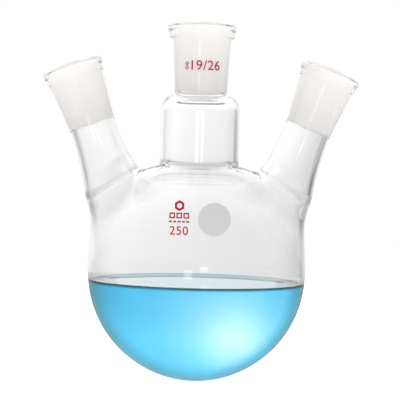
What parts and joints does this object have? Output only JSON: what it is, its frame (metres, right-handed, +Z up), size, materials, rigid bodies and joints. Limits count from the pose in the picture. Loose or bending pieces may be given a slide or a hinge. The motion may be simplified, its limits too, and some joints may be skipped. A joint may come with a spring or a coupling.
{
  "type": "round bottom flask",
  "caption": "Clear glass reaction flask: a round bulb with an upright neck and slanting side necks, each ending in a ground joint socket, holding a pool of blue liquid.",
  "frame": {"origin": "lowest point of the round bulb, on the upright neck's axis", "axes": "+Z up along the upright neck; the side necks lean outwards in the XZ plane, towards -X and +X; the printed front faces -Y"},
  "size_m": [0.123, 0.085, 0.1394],
  "materials": {
    "clear_glass": "polished",
    "ground_glass": "satin",
    "blue_liquid": "polished",
    "grey_enamel": "satin",
    "red_enamel": "satin"
  },
  "bodies": {
    "glassware": {"globe": "clear_glass", "centre_neck_tube": "clear_glass", "centre_joint_socket": "ground_glass", "left_neck_tube": "clear_glass", "left_joint_socket": "ground_glass", "right_neck_tube": "clear_glass", "right_joint_socket": "ground_glass", "marking_spot": "grey_enamel"},
    "pool": {"liquid": "blue_liquid"}
  },
  "joints": [
    {"name": "liquid_level_swing", "type": "hinge", "parent": "glassware", "child": "pool", "pos_m": [0, 0, 0.0425], "axis": [0, 1, 0], "range_deg": [-15, 15]}
  ]
}
